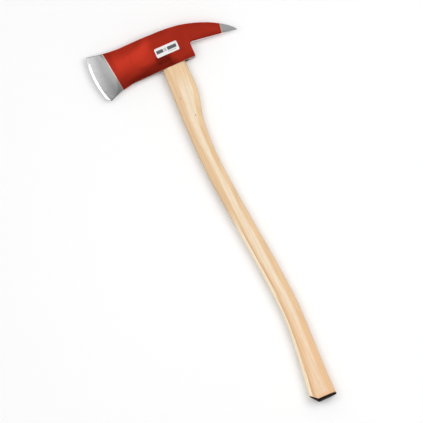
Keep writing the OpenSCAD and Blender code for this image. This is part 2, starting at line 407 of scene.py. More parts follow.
def make_eye_cutter(spread):
    """An oval bar along Y that flares a little where it leaves the head."""
    mouth_low = [(-60, 1.0), (LOW_Y - 0.2, 0.35), (LOW_Y + 0.7, 0.0)]
    mouth_top = [(TOP_Y - 1.9, 0.0), (TOP_Y - 0.6, 1.0), (60, 1.2)]
    rings = []
    for y, flare in mouth_low + mouth_top:
        grow = flare + spread
        flat = oval(EYE_X[0] - grow, EYE_X[1] + grow, EYE_R + grow)
        rings.append(np.column_stack([flat[:, 0], np.full(len(flat), y), flat[:, 1] + MID_Z]))
    cutter = new_object("eye_cutter", np.concatenate(rings), tube_faces(len(rings), len(rings[0])))
    outward(cutter)
    return cutter


columns, bit_line, pick_line = head_columns()
rings = make_rings(columns)
ring_n = rings.shape[1]
head = new_object("head_steel", rings.reshape(-1, 3), tube_faces(len(rings), ring_n))
outward(head)

under = FACE_N + ARRIS_N // 2


def coated(j, i):
    """True where the cell between loops j, j + 1 and points i, i + 1 carries enamel."""
    if not bit_line <= j < pick_line:
        return False
    side = min(i, ring_n - 1 - i)
    if columns[j].get("pick"):
        return side >= under + LOWER_N - 1
    return side >= under or columns[j]["x_low"] < UNDER_PAINT


cells = []
for j in range(len(rings) - 1):
    for i in range(ring_n):
        if coated(j, i):
            k = (i + 1) % ring_n
            cells.append((j * ring_n + i, (j + 1) * ring_n + i, (j + 1) * ring_n + k, j * ring_n + k))
used = sorted({v for cell in cells for v in cell})
place_of = {v: n for n, v in enumerate(used)}
coat = new_object("head_enamel_coat", rings.reshape(-1, 3)[used], [[place_of[v] for v in c] for c in cells])
outward(coat)
shell = coat.modifiers.new("shell", "SOLIDIFY")
shell.thickness = (COAT_T + COAT_SINK) * MM
shell.offset = 2 * COAT_T / (COAT_T + COAT_SINK) - 1
shell.use_even_offset = True
shell.use_rim = True
apply_modifiers(coat)

eye_cutter = make_eye_cutter(0)
coat_cutter = make_eye_cutter(EYE_COAT_GAP)
carve(head, [eye_cutter])
carve(coat, [coat_cutter])
drop(eye_cutter, coat_cutter)

# ---------------------------------------------------------------- handle
# Distance below the head, front edge, rear edge, half thickness, front and rear facet widths.
STATIONS = np.array([
    [-3, -29.3, 25.8, 11.6, 10, 8], [20, -30.8, 26, 12.4, 15, 8], [62, -32.2, 26.4, 13.6, 18, 10],
    [88, -33.2, 22.6, 13.8, 16, 12], [125, -34.6, 12.8, 13.6, 14, 12], [165, -35.2, 7.4, 13.2, 14, 13],
    [220, -35.3, 5.2, 12.8, 17, 10.5], [290, -32.4, 8.2, 12.5, 16, 10], [430, -21.4, 20.6, 12.5, 13.5, 12.5],
    [510, -15, 28, 12.5, 14.5, 13.5], [600, -9.8, 33.6, 12.5, 19.5, 13.5], [640, -10.2, 33.6, 12.7, 20, 14],
    [700, -15, 31.4, 13.2, 20.5, 14.5], [760, -23, 29.2, 14, 20, 16], [805, -29.2, 28.6, 14.5, 18, 15],
    [833, -29.8, 28.6, 14.5, 12.5, 14],
])
SIDE_FLAT = 0.42
ARRIS_CUT = 2.4
CUT_SHARE = 0.4
FACET_CROWN = 0.22
# The front facets of the lower handle are worked as two, with an arris this far along and this proud.
RIDGE_AT = 0.44
RIDGE_UP = 1.5
RIDGE_FROM = (320.0, 420.0)
# The end's front corner is cut off at this slope over this length, from a fold behind the top corner.
NIP_SLOPE = 1.15
NIP_LEN = 45
NIP_FOLD = 2.5
SHOULDER = (-1.0, -8.0)
GAP = 8.0
GAP_TOP = 16.5


def station(d):
    """The handle's measures at distance d below the head: a cubic through the stations."""
    d = d * STATIONS[-1, 0] / HANDLE_LEN
    i = int(np.clip(np.searchsorted(STATIONS[:, 0], d, "right") - 1, 0, len(STATIONS) - 2))
    a, b = STATIONS[i], STATIONS[i + 1]
    before, after = STATIONS[max(i - 1, 0)], STATIONS[min(i + 2, len(STATIONS) - 1)]
    w = b[0] - a[0]
    t = (d - a[0]) / w
    slope_a = (b - before) / (b[0] - before[0])
    slope_b = (after - a) / (after[0] - a[0])
    return (a + (b - a) * t * t * (3 - 2 * t) + w * t * (1 - t) * ((1 - t) * slope_a - t * slope_b))[1:]


def ripple(d, seed):
    """A few tenths of a millimetre of hand work along the handle."""
    return 0.16 * math.sin(d / 23.0 + seed * 2.1) + 0.1 * math.sin(d / 9.7 + seed * 4.7)


def corner_loop(d):
    """The handle's corners at d, from the top front one over the rear."""
    f, r, h, cf, cr = station(d)
    f, r, h = f + 0.25, r - 0.25, h - 0.15
    cf, cr = cf + 2.5 * ripple(d, 1), cr + 2.5 * ripple(d, 2)
    s = h * SIDE_FLAT + ripple(d, 3)
    rise = 0.1 + RIDGE_UP * np.clip((d - RIDGE_FROM[0]) / (RIDGE_FROM[1] - RIDGE_FROM[0]), 0, 1)
    length = math.hypot(cf, h - s)
    ridge = (f + cf * RIDGE_AT - rise * (h - s) / length, s + (h - s) * RIDGE_AT + rise * cf / length)
    top = [(f + cf, h), (r - cr, h), (r, s)]
    low = [(r, -s), (r - cr, -h), (f + cf, -h), (ridge[0], -ridge[1])]
    return np.array(top + low + [(f, -s), (f, s), ridge])


def section(d):
    """Points (x, z) round the handle at d: slightly crowned facets with eased arrises."""
    corners = corner_loop(d)
    n = len(corners)
    points = []
    for i in range(n):
        here, after, before = corners[i], corners[(i + 1) % n], corners[i - 1]
        reach_in = min(ARRIS_CUT, CUT_SHARE * np.linalg.norm(here - before))
        reach_out = min(ARRIS_CUT, CUT_SHARE * np.linalg.norm(after - here))
        reach = min(reach_in, reach_out)
        way_in = (here - before) / np.linalg.norm(here - before)
        way_out = (after - here) / np.linalg.norm(after - here)
        points.extend(bow(here - way_in * reach, here, here + way_out * reach, 4))
        next_len = np.linalg.norm(corners[(i + 2) % n] - after)
        span = np.linalg.norm(after - here)
        next_reach = min(ARRIS_CUT, CUT_SHARE * span, CUT_SHARE * next_len)
        a, b = here + way_out * reach, after - way_out * next_reach
        normal = np.array([-way_out[1], way_out[0]])
        for f in (0.12, 0.5, 0.88):
            points.append(a + (b - a) * f + normal * FACET_CROWN * 4 * f * (1 - f))
    return np.array(points)


def spread_oval(x0, x1, r, like):
    """Points of an oval, one for each point of another section, at the same share of its length."""
    flat = oval(x0, x1, r)
    loop = np.vstack([flat, flat[:1]])
    steps = np.concatenate([[0], np.cumsum(np.linalg.norm(np.diff(loop, axis=0), axis=1))])
    other = np.vstack([like, like[:1]])
    shares = np.concatenate([[0], np.cumsum(np.linalg.norm(np.diff(other, axis=0), axis=1))])
    shares = shares[:-1] / shares[-1]
    first = math.atan2(like[0][1], like[0][0] - (x0 + x1) / 2)
    turn = np.unwrap(np.arctan2(loop[:, 1], loop[:, 0] - (x0 + x1) / 2))
    offset = np.interp(-first, -turn, steps) if turn[0] > turn[-1] else 0
    at = (offset + shares * steps[-1]) % steps[-1]
    return np.column_stack([np.interp(at, steps, loop[:, 0]), np.interp(at, steps, loop[:, 1])])


def tongue_section(y, like):
    rear = EYE_X[1] - 0.15 - GAP * np.clip((GAP_TOP - y) / (GAP_TOP - LOW_Y), 0, 1)
    return spread_oval(EYE_X[0] + 0.15, rear, EYE_R - 0.15, like)


def nip(flat, d, fold_x):
    """Lift of each point towards the head, for the corner cut off across the handle's end."""
    share = np.clip((d - (HANDLE_LEN - NIP_LEN)) / NIP_LEN, 0, 1) ** 2
    return NIP_SLOPE * share * np.maximum(0, fold_x - flat[:, 0])


def handle_ring(d, grow=0.0):
    flat = section(max(d, 0.0))
    fold_x = corner_loop(max(d, 0.0))[0][0] + NIP_FOLD
    if grow:
        middle = np.array([(flat[:, 0].min() + flat[:, 0].max()) / 2, 0])
        ray = flat - middle
        flat = flat + ray / np.linalg.norm(ray, axis=1)[:, None] * grow
    if d < SHOULDER[0]:
        share = np.clip((SHOULDER[0] - d) / (SHOULDER[0] - SHOULDER[1]), 0, 1)
        share = share * share * (3 - 2 * share)
        flat = flat + (tongue_section(min(LOW_Y - d, TOP_Y), flat) - flat) * share
    y = LOW_Y - d + nip(flat, d, fold_x)
    return np.column_stack([flat[:, 0], y, flat[:, 1] + MID_Z])


def brow_trim(ring):
    """The tongue's end follows the top of the head."""
    ring = ring.copy()
    ring[:, 1] = along(BROW, ring[:, 0], 1) - 0.1
    return ring


CUT_D = HANDLE_LEN - 2.2
steps = [-84.0, -80, -70, -60, -45, -30, -16, -8, -6, -4, -2, -1]
steps += list(np.arange(0, CUT_D - 3, 5.0)) + [CUT_D - 1.5, CUT_D]
wood_rings = [handle_ring(d) for d in steps]
wood_rings[0] = brow_trim(wood_rings[0])
n = len(wood_rings[0])
handle = new_object("ash_handle", np.concatenate(wood_rings), tube_faces(len(wood_rings), n), 40)
outward(handle)

# The dark seal dipped over the end, with an uneven upper line and an eased rim.
SEAL_T = 0.12
RIM = 1.1
seal_rings = []
round_turn = 2 * math.pi * np.arange(n) / n
wander = 0.35 * np.sin(round_turn * 3 + 1) + 0.25 * np.sin(round_turn * 7)
for d, grow in [(CUT_D - 0.9, 0.0), (CUT_D - 0.85, SEAL_T), (CUT_D - 0.3, SEAL_T)]:
    ring = handle_ring(d, grow)
    ring[:, 1] += wander
    seal_rings.append(ring)
for a in np.radians([0, 22, 45, 68, 90]):
    below = HANDLE_LEN - RIM * (1 - math.sin(a)) - 0.02
    seal_rings.append(handle_ring(below, SEAL_T - RIM * (1 - math.cos(a))))
flat_end = seal_rings[-1]
centre = np.array([flat_end[:, 0].mean(), flat_end[:, 1].mean(), MID_Z])
fold_x = corner_loop(HANDLE_LEN)[0][0] + NIP_FOLD
for f in (0.85, 0.6, 0.35, 0.12):
    ring = centre + (flat_end - centre) * f
    ring[:, 1] = LOW_Y - HANDLE_LEN + 0.04 + NIP_SLOPE * np.maximum(0, fold_x - ring[:, 0])
    seal_rings.append(ring)
seal = new_object("dark_end_seal", np.concatenate(seal_rings), tube_faces(len(seal_rings), n), 40)
outward(seal)


# ---------------------------------------------------------------- wedges
WEDGE_D = 52.0
WEDGE_T = 5.0
STEEL_X = (-13.0, 16.0)
STEEL_W = 17.0
STEEL_D = 30.0
STEEL_T = 3.5
STEEL_SKEW = 20.0


def slab(name, half_w, deep, half_low, half_top, top, soften):
    """A wedge that tapers downwards, in its own frame: width along X, thickness along Z."""
    rows = []
    for y, h in ((deep, half_low), (top - soften, half_top - 0.15), (top, half_top - 0.15 - soften)):
        cut = soften if y == top else 0
        w = half_w - cut
        e = min(0.35, h * 0.5)
        rows.append([(w - e, y, h), (w, y, h - e), (w, y, e - h), (w - e, y, -h),
                     (e - w, y, -h), (-w, y, e - h), (-w, y, h - e), (e - w, y, h)])
    obj = new_object(name, np.array(rows).reshape(-1, 3), tube_faces(3, 8), 30)
    outward(obj)
    return obj


def place_wedge(obj, x, skew_deg):
    """Turns and moves a wedge's own mesh."""
    c, s = math.cos(math.radians(skew_deg)), math.sin(math.radians(skew_deg))
    for v in obj.data.vertices:
        vx, vy, vz = v.co
        v.co = (x * MM + c * vx + s * vz, vy, MID_Z * MM - s * vx + c * vz)


def trim_top(obj, proud):
    """Moves a wedge's upper points to the head's top curve, this far above it."""
    for v in obj.data.vertices:
        if v.co.y > (TOP_Y - 6) * MM:
            v.co.y += (along(BROW, v.co.x / MM, 1) - TOP_Y + proud) * MM


kerf = slab("kerf", EYE_X[1] + 40, TOP_Y - WEDGE_D, 0.6, WEDGE_T / 2 + 0.3, TOP_Y + 5, 0)
place_wedge(kerf, 0, 0)
slots = []
for x in STEEL_X:
    pocket = slab("pocket", STEEL_W / 2 + 0.15, TOP_Y - STEEL_D, 0.5, STEEL_T / 2 + 0.35, TOP_Y + 5, 0)
    place_wedge(pocket, x, STEEL_SKEW + 90)
    slots.append(pocket)
carve(handle, [kerf, *slots], 40)

wood_half_w = (EYE_X[1] - EYE_X[0]) / 2 - 0.5
wood_wedge = slab("split_wedge", wood_half_w, TOP_Y - WEDGE_D, 0.4, WEDGE_T / 2 + 0.1, TOP_Y, 0.4)
place_wedge(wood_wedge, (EYE_X[0] + EYE_X[1]) / 2, 0)
trim_top(wood_wedge, 0.1)
carve(wood_wedge, slots, 30)
steel_wedges = []
for x, name in zip(STEEL_X, ("step_wedge_front", "step_wedge_rear")):
    wedge = slab(name, STEEL_W / 2, TOP_Y - STEEL_D, 0.35, STEEL_T / 2, TOP_Y, 0.5)
    place_wedge(wedge, x, STEEL_SKEW + 90)
    trim_top(wedge, -0.15)
    steel_wedges.append(wedge)
drop(kerf, *slots)

# ---------------------------------------------------------------- label
LABEL_R = 3.0
LABEL_T = 0.16


def rounded_rect(half_w, half_h, r, n=8):
    points = []
    for k, (sx, sy) in enumerate([(1, 1), (-1, 1), (-1, -1), (1, -1)]):
        for a in np.radians(np.linspace(0, 90, n + 1) + 90 * k):
            points.append((sx * (half_w - r) + r * math.cos(a), sy * (half_h - r) + r * math.sin(a)))
    return np.array(points)


label_c = (LABEL_LOW + LABEL_HIGH)[:2] / 2
label_half = (LABEL_HIGH - LABEL_LOW)[:2] / 2
outline = rounded_rect(*label_half, LABEL_R)
label_rings = []
levels = [(0.0, -0.03), (0.0, LABEL_T * 0.6), (0.12, LABEL_T)]
for inset, lift in levels:
    label_rings.append((outline * (1 - inset / label_half), lift))
for f in (0.93, 0.8, 0.65, 0.5, 0.35, 0.2, 0.07):
    label_rings.append((outline * f, LABEL_T))
points = []
for flat, lift in label_rings:
    at = flat + label_c
    z = MID_Z + half_thickness(at[:, 0], at[:, 1]) + COAT_T + lift
    points.append(np.column_stack([at, z]))
label = new_object("cheek_label", np.concatenate(points), tube_faces(len(points), len(outline)), 40)
outward(label)


# ---------------------------------------------------------------- materials
class Look:
    """A Principled material under construction, with short helpers for its nodes."""

    def __init__(self, name, **sockets):
        self.mat = bpy.data.materials.new(name)
        self.mat.use_nodes = True
        self.tree = self.mat.node_tree
        self.shader = self.tree.nodes["Principled BSDF"]
        for key, value in sockets.items():
            self.shader.inputs[key.replace("_", " ")].default_value = value
        self.where = self.tree.nodes.new("ShaderNodeTexCoord").outputs["Object"]

    def node(self, kind, inputs=(), **props):
        made = self.tree.nodes.new("ShaderNode" + kind)
        for key, value in props.items():
            setattr(made, key, value)
        for key, value in dict(inputs).items():
            self.put(made.inputs[key], value)
        return made

    def put(self, socket, value):
        if isinstance(value, bpy.types.NodeSocket):
            self.tree.links.new(value, socket)
        else:
            socket.default_value = value

    def scaled(self, scale):
        """Object coordinates times scale, in cycles per metre."""
        return self.node("Mapping", {"Vector": self.where, "Scale": scale}).outputs["Vector"]

    def noise(self, scale, detail=3.0, rough=0.5):
        vector = self.scaled(scale if isinstance(scale, tuple) else (scale,) * 3)
        inputs = {"Vector": vector, "Scale": 1.0, "Detail": detail, "Roughness": rough}
        return self.node("TexNoise", inputs).outputs["Fac"]

    def step(self, value, low, high, out_low=0.0, out_high=1.0):
        made = self.node("MapRange", {"Value": value, "From Min": low, "From Max": high, "To Min": out_low,
                                      "To Max": out_high}, interpolation_type="SMOOTHSTEP")
        return made.outputs["Result"]

    def math(self, op, a, b=0.0):
        return self.node("Math", {0: a, 1: b}, operation=op).outputs[0]

    def times(self, a, b):
        return self.math("MULTIPLY", a, b)

    def plus(self, a, b):
        return self.math("ADD", a, b)

    def minus(self, a, b):
        return self.math("SUBTRACT", a, b)

    def mix(self, fac, a, b):
        return self.node("Mix", {0: fac, 6: a, 7: b}, data_type="RGBA").outputs[2]

    def ramp(self, fac, *stops):
        made = self.node("ValToRGB", {"Fac": fac})
        ramp = made.color_ramp
        while len(ramp.elements) < len(stops):
            ramp.elements.new(0.5)
        for element, (place, colour) in zip(ramp.elements, stops):
            element.position = place
            element.color = (*colour, 1)
        return made.outputs["Color"]

    def axes(self):
        return self.node("SeparateXYZ", {"Vector": self.where}).outputs

    def bumps(self, *layers):
        """Height layers as (height, strength, depth in metres), the broadest first."""
        normal = None
        for height, strength, depth in layers:
            inputs = {"Height": height, "Strength": strength, "Distance": depth}
            if normal is not None:
                inputs["Normal"] = normal
            normal = self.node("Bump", inputs).outputs["Normal"]
        self.put(self.shader.inputs["Normal"], normal)

    def corners(self, low, high):
        """0 on flats and hollows, 1 on worn outer corners."""
        return self.step(self.node("NewGeometry").outputs["Pointiness"], low, high)

    def set(self, **sockets):
        for key, value in sockets.items():
            self.put(self.shader.inputs[key.replace("_", " ")], value)
        return self.mat


def grey(v, warm=0.0):
    return (v * (1 + warm), v, v * (1 - warm))


# Tones of the steel: the eye's walls, a painted highlight along the paint lines, the honed bevel, worn
# corners.
EYE_DARK = (0.03, 0.022, 0.016, 1)
PAINT_EDGE_HIGHLIGHT_TONE = (1.0, 0.84, 0.76, 1)
HONED_TONE = (0.9, 0.905, 0.91, 1)
WORN_TONE = (0.75, 0.75, 0.76, 1)


def steel_look():
    look = Look("ground_steel", Metallic=1.0)
    x, y, z = look.axes()
    cloud = look.noise(28, 4, 0.6)
    marks = look.noise((60, 1500, 1500), 3, 0.7)
    fine = look.noise((200, 5200, 5200), 2, 0.5)
    # Honed strip: how far inside the cutting edge's arc a point lies.
    dx = look.minus(x, EDGE_C[0] * MM)
    dy = look.minus(y, EDGE_C[1] * MM)
    reach = look.math("SQRT", look.plus(look.times(dx, dx), look.times(dy, dy)))
    honed = look.step(reach, (EDGE_R - HONE_W - 0.2) * MM, (EDGE_R - HONE_W + 0.1) * MM)
    nearing = look.step(x, -0.120, -0.128)
    honed = look.times(honed, look.times(nearing, look.step(y, 0.052, 0.022, 0.15, 1.0)))
    # Bare forged skin on the underside and in the eye.
    forged = look.times(look.step(y, (LOW_Y + 1.4) * MM, (LOW_Y + 0.9) * MM), look.step(x, -0.118, -0.108))
    front, rear = EYE_X
    inside = look.times(look.step(x, (front - 2.5) * MM, (front - 1.5) * MM),
                        look.step(x, (rear + 2.2) * MM, (rear + 1.2) * MM))
    off, on = EYE_R + 1, EYE_R + 0.4
    deep = look.times(look.step(z, (MID_Z - off) * MM, (MID_Z - on) * MM),
                      look.step(z, (MID_Z + off) * MM, (MID_Z + on) * MM))
    forged = look.math("MAXIMUM", forged, look.times(inside, deep))
    mottle = look.noise(160, 5, 0.65)

    def beside(line, width, sign, soft=0.4):
        """1 on the steel within width of a paint line, given as its x at the head's top and low edge."""
        tilt = (line[0] - line[1]) / (TOP_Y - LOW_Y)
        line_x = look.plus(look.times(y, tilt), (line[0] - tilt * TOP_Y) * MM)
        gap = look.times(look.minus(x, line_x), sign)
        return look.step(gap, (width + soft) * MM, (width - soft) * MM)

    # Painted highlight: a pale pinkish line on the steel just beside the bit's and the pick's paint lines.
    paint_edge_highlight = look.times(beside(BIT_LINE, 1.7, -1), look.step(x, -0.115, -0.12))
    paint_edge_highlight = look.plus(paint_edge_highlight, look.times(beside(PICK_LINE, 2.4, 1), look.step(x, 0.12, 0.125)))
    paint_edge_highlight = look.times(paint_edge_highlight, look.step(look.noise(300, 3, 0.6), 0.2, 0.5, 0.85, 1.0))
    grain = look.noise((150, 420, 420), 4, 0.75)
    shine = look.plus(look.times(cloud, 0.35), look.times(marks, 0.25))
    shine = look.plus(shine, look.times(grain, 0.4))
    ground = look.ramp(shine, (0.34, grey(0.53)), (0.5, grey(0.68)), (0.66, grey(0.80)))
    skin = look.ramp(mottle, (0.3, grey(0.23, 0.04)), (0.55, grey(0.33, 0.03)), (0.75, grey(0.42, 0.03)))
    colour = look.mix(forged, ground, skin)
    eye = look.times(inside, look.times(deep, look.step(y, (LOW_Y + 0.3) * MM, (LOW_Y + 0.8) * MM)))
    colour = look.mix(look.times(eye, 0.8), colour, EYE_DARK)
    # Painted shade and painted reflection on the ground face: it darkens towards the heel and the paint, but
    # is lighter close to the paint and on the pick.
    colour = look.mix(look.step(y, 0.005, -0.05, 0.0, 0.5), colour, (*grey(0.34), 1))
    colour = look.mix(look.step(x, 0.11, 0.125, 0.0, 0.45), colour, (*grey(0.85), 1))
    toward_paint = look.step(reach, (EDGE_R - 8) * MM, (EDGE_R - 28) * MM, 0.0, 0.4)
    on_bit = look.step(x, -0.118, -0.126)
    colour = look.mix(look.times(toward_paint, on_bit), colour, (*grey(0.18), 1))
    near_paint = look.times(beside(BIT_LINE, 10, -1, 9), on_bit)
    near_paint = look.times(near_paint, look.step(y, -0.005, -0.03, 0.35, 0.75))
    colour = look.mix(near_paint, colour, (*grey(0.66), 1))
    colour = look.mix(paint_edge_highlight, colour, PAINT_EDGE_HIGHLIGHT_TONE)
    colour = look.mix(honed, colour, HONED_TONE)
    colour = look.mix(look.times(look.corners(0.53, 0.6), 0.5), colour, WORN_TONE)
    rough = look.step(look.plus(marks, cloud), 0.7, 1.3, 0.33, 0.40)
    rough = look.plus(rough, look.times(forged, 0.14))
    rough = look.minus(rough, look.times(honed, 0.2))
    pits = look.step(mottle, 0.35, 0.7)
    look.bumps((cloud, 0.1, 0.0006), (look.times(pits, forged), 0.5, 0.00035), (marks, 0.16, 0.0001),
               (fine, 0.1, 0.00004))
    return look.set(Base_Color=colour, Roughness=rough)


# Tones of the enamel: dust specks, the shaded patches, and thin paint on sharp corners.
RED_SPECK = (0.2, 0.012, 0.008, 1)
RED_SHADE = (0.19, 0.012, 0.008, 1)
RED_THIN = (0.62, 0.16, 0.1, 1)


def enamel_look():
    look = Look("red_enamel", Metallic=0.85, Coat_Weight=0.04, Coat_Roughness=0.2, Specular_IOR_Level=0.12)
    x, y, _ = look.axes()
    cloud = look.noise(17, 4, 0.6)
    peel = look.noise(420, 2, 0.5)
    broad = look.noise(60, 2, 0.5)
    specks = look.step(look.noise(900, 2, 0.5), 0.70, 0.76)
    runs = look.noise((90, 30, 90), 3, 0.6)
    colour = look.ramp(look.plus(look.times(cloud, 0.7), look.times(runs, 0.3)),
                       (0.3, (0.58, 0.038, 0.016)), (0.5, (0.64, 0.043, 0.020)), (0.72, (0.69, 0.050, 0.024)))
    colour = look.mix(look.times(specks, 0.45), colour, RED_SPECK)

    def zone(weight, *edges):
        """weight where every (axis, off, on) edge, in mm, is passed, fading out across each one."""
        inside = weight
        for axis, off, on in edges:
            inside = look.times(look.step(axis, off * MM, on * MM), inside)
        return inside

    # Height above a line that falls towards the pick's point, for the shade on the pick's lower side.
    slant = look.plus(y, look.times(x, 0.193))
    shades = [
        zone(0.42, (y, -24, -36), (x, 14, 2)),
        zone(0.30, (y, -4, -30), (x, -90, -118)),
        zone(0.24, (y, 24, 36), (x, -75, -50), (x, 30, 0)),
        zone(0.70, (y, -8, -15), (y, -38, -26), (x, -42, -30), (x, 8, -10)),
        zone(0.30, (y, -14, -22), (y, -40, -28), (x, -88, -68), (x, 0, -30)),
        zone(0.26, (x, -118, -130), (y, -28, -18)),
        zone(0.34, (slant, 11, 3), (x, 56, 62)),
        zone(0.07, (x, 20, 50)),
    ]
    shade = shades[0]
    for other in shades[1:]:
        shade = look.math("MAXIMUM", shade, other)
    shade = look.times(shade, look.step(look.noise(110, 3, 0.6), 0.3, 0.6, 0.82, 1.1))
    colour = look.mix(shade, colour, RED_SHADE)
    thin = look.times(look.corners(0.535, 0.62), look.step(look.noise(240, 4, 0.7), 0.4, 0.66))
    colour = look.mix(look.times(thin, 0.6), colour, RED_THIN)
    rough = look.step(look.plus(cloud, broad), 0.7, 1.3, 0.32, 0.39)
    look.bumps((broad, 0.12, 0.0008), (peel, 0.1, 0.00012), (specks, 0.3, 0.00006))
    return look.set(Base_Color=colour, Roughness=rough)


# Tones on the wood: the warm end, rare dark flecks, what the seal soaked, and pores in end grain.
BY_SEAL_TONE = (0.80, 0.43, 0.21, 1)
FLECK_TONE = (0.16, 0.07, 0.03, 1)
SOAKED_TONE = (0.035, 0.014, 0.006, 1)
END_HOLE_TONE = (0.07, 0.035, 0.016, 1)


def wood_look(name, pale, light, mid, dark, warm_tone, sap, end_cut, coat):
    """Straight-grained hardwood, its grain along Y: growth rings that show as bands, pores, end grain."""
    look = Look(name, Coat_Weight=coat, Coat_Roughness=0.22, Specular_IOR_Level=0.4)
    x, y, z = look.axes()
    drift = look.noise((6, 1.6, 6), 2, 0.5)
    wobble = look.noise((45, 3.2, 45), 3, 0.55)
    layer = look.plus(look.times(z, 150.0), look.times(x, 85.0))
    layer = look.plus(layer, look.times(drift, 7.0))
    layer = look.plus(layer, look.times(wobble, 1.6))
    saw = look.math("FRACT", layer)
    late = look.times(look.step(saw, 0.45, 0.93), look.step(saw, 1.0, 0.94))
    streak = look.noise((420, 7, 420), 4, 0.65)
    fibre = look.noise((1500, 26, 1500), 3, 0.6)
    pore_at = look.noise((2100, 70, 2100), 2, 0.6)
    pores = look.times(look.step(pore_at, 0.6, 0.7), look.step(saw, 0.35, 0.1, 0.15, 1.0))
    blotch = look.noise((14, 5, 14), 3, 0.5)
    colour = look.ramp(look.plus(look.times(streak, 0.45), look.times(blotch, 0.55)),
                       (0.32, mid), (0.5, tuple((a + b) / 2 for a, b in zip(light, mid))), (0.68, light))
    normal = look.node("SeparateXYZ", {"Vector": look.node("NewGeometry").outputs["Normal"]}).outputs
    facing, side = normal["Z"], normal["X"]
    uneven = look.times(look.minus(look.noise((70, 9, 70), 4, 0.6), 0.5), 0.03)
    level = look.plus(look.math("ABSOLUTE", facing), uneven)
    # Painted highlight: the pale tone goes where the crowned faces point straight up or down, weaker close to
    # the head.
    below_head = look.step(y, (LOW_Y - 15) * MM, (LOW_Y - 70) * MM, 0.12, 1.0)
    flat = look.times(look.step(level, 0.978, 0.994), below_head)
    front = look.times(look.step(level, 0.915, 0.89), look.step(side, -0.2, -0.4))
    front = look.times(front, look.step(y, -0.37, -0.47))
    warm = look.step(y, -0.42, -0.80, 0.0, 0.75)
    colour = look.mix(warm, colour, (*warm_tone, 1))
    colour = look.mix(look.times(flat, 0.8), colour, (*pale, 1))
    colour = look.mix(look.step(y, -0.62, -0.86, 0.0, 0.45), colour, (*warm_tone, 1))
    wood_end = LOW_Y - CUT_D
    by_seal = look.step(y, (wood_end + 16) * MM, (wood_end + 3) * MM, 0.0, 0.55)
    colour = look.mix(by_seal, colour, BY_SEAL_TONE)
    # Painted shade: the dark tone lies on the handle's steep sides, where the faces turn away from above.
    edge = look.times(look.step(level, 0.66, 0.5), look.step(level, 0.06, 0.2, 0.3, 0.85))
    colour = look.mix(edge, colour, (*dark, 1))
    mottle = look.step(look.noise((150, 45, 150), 4, 0.65), 0.36, 0.64, 0.0, 0.22)
    colour = look.mix(mottle, colour, (*mid, 1))
    rear = look.times(look.step(level, 0.93, 0.88), look.step(side, 0.2, 0.4))
    rear = look.times(rear, look.step(y, -0.25, -0.45, 0.0, 0.3))
    colour = look.mix(rear, colour, (*mid, 1))
    colour = look.mix(front, colour, (*sap, 1))
    ridge = look.times(look.step(level, 0.89, 0.92), look.step(level, 0.965, 0.93))
    ridge = look.times(ridge, look.times(look.step(side, -0.2, -0.3), look.step(y, -0.33, -0.43)))
    colour = look.mix(look.times(ridge, 0.5), colour, (*dark, 1))
    colour = look.mix(look.times(late, 0.16), colour, (*dark, 1))
    colour = look.mix(look.times(look.step(fibre, 0.35, 0.7), 0.16), colour, (*mid, 1))
    colour = look.mix(look.times(pores, 0.34), colour, (*(c * 0.55 for c in dark), 1))
    fleck_at = look.node("TexVoronoi", {"Vector": look.scaled((55, 16, 55)), "Scale": 1.0}, feature="F1")
    fleck = look.step(fleck_at.outputs["Distance"], 0.07, 0.03)
    rare = look.step(look.node("SeparateColor", {"Color": fleck_at.outputs["Color"]}).outputs[0], 0.78, 0.8)
    colour = look.mix(look.times(look.times(fleck, rare), 0.7), colour, FLECK_TONE)
    soaked = look.plus(y, look.times(streak, 0.0012))
    soaked = look.step(soaked, (wood_end + 4.0) * MM, (wood_end + 2.2) * MM)
    colour = look.mix(look.times(soaked, 0.93), colour, SOAKED_TONE)
    top = look.step(y, (TOP_Y - 2.2) * MM, (TOP_Y - 1.6) * MM)
    rings_across = look.step(saw, 0.3, 0.95)
    face = look.mix(look.times(rings_across, 0.6), (*end_cut, 1), (*(c * 0.5 for c in end_cut), 1))
    holes = look.times(look.step(look.noise(2400, 2, 0.6), 0.55, 0.66), 0.5)
    face = look.mix(holes, face, END_HOLE_TONE)
    colour = look.mix(top, colour, face)
    rough = look.step(look.plus(streak, fibre), 0.7, 1.3, 0.34, 0.52)
    look.bumps((blotch, 0.2, 0.0015), (late, 0.12, 0.00025), (fibre, 0.14, 0.00012), (pores, 0.35, 0.0001))
    return look.set(Base_Color=colour, Roughness=rough)


def wedge_steel_look():
    look = Look("wedge_steel", Metallic=1.0)
    mottle = look.noise(700, 4, 0.65)
    dents = look.noise(330, 2, 0.5)
    colour = look.ramp(mottle, (0.3, grey(0.22, 0.05)), (0.55, grey(0.38, 0.02)), (0.75, grey(0.55)))
    look.bumps((dents, 0.5, 0.0004), (mottle, 0.3, 0.0001))
    return look.set(Base_Color=colour, Roughness=look.step(mottle, 0.3, 0.75, 0.32, 0.55))


def seal_look():
    look = Look("end_seal_wax", Specular_IOR_Level=0.03)
    cloud = look.noise(70, 4, 0.6)
    grain = look.noise((900, 60, 900), 3, 0.6)
    saw = look.noise((90, 90, 1300), 2, 0.5)
    colour = look.ramp(look.plus(look.times(cloud, 0.5), look.times(grain, 0.5)),
                       (0.32, (0.003, 0.001, 0.001)), (0.5, (0.006, 0.002, 0.001)),
                       (0.7, (0.02, 0.007, 0.003)))
    thin = look.times(look.corners(0.53, 0.6), look.step(cloud, 0.42, 0.6))
    colour = look.mix(look.times(thin, 0.7), colour, (0.17, 0.075, 0.03, 1))
    look.bumps((cloud, 0.2, 0.0006), (grain, 0.35, 0.0002), (saw, 0.2, 0.0001))
    return look.set(Base_Color=colour, Roughness=look.step(grain, 0.3, 0.7, 0.42, 0.62))


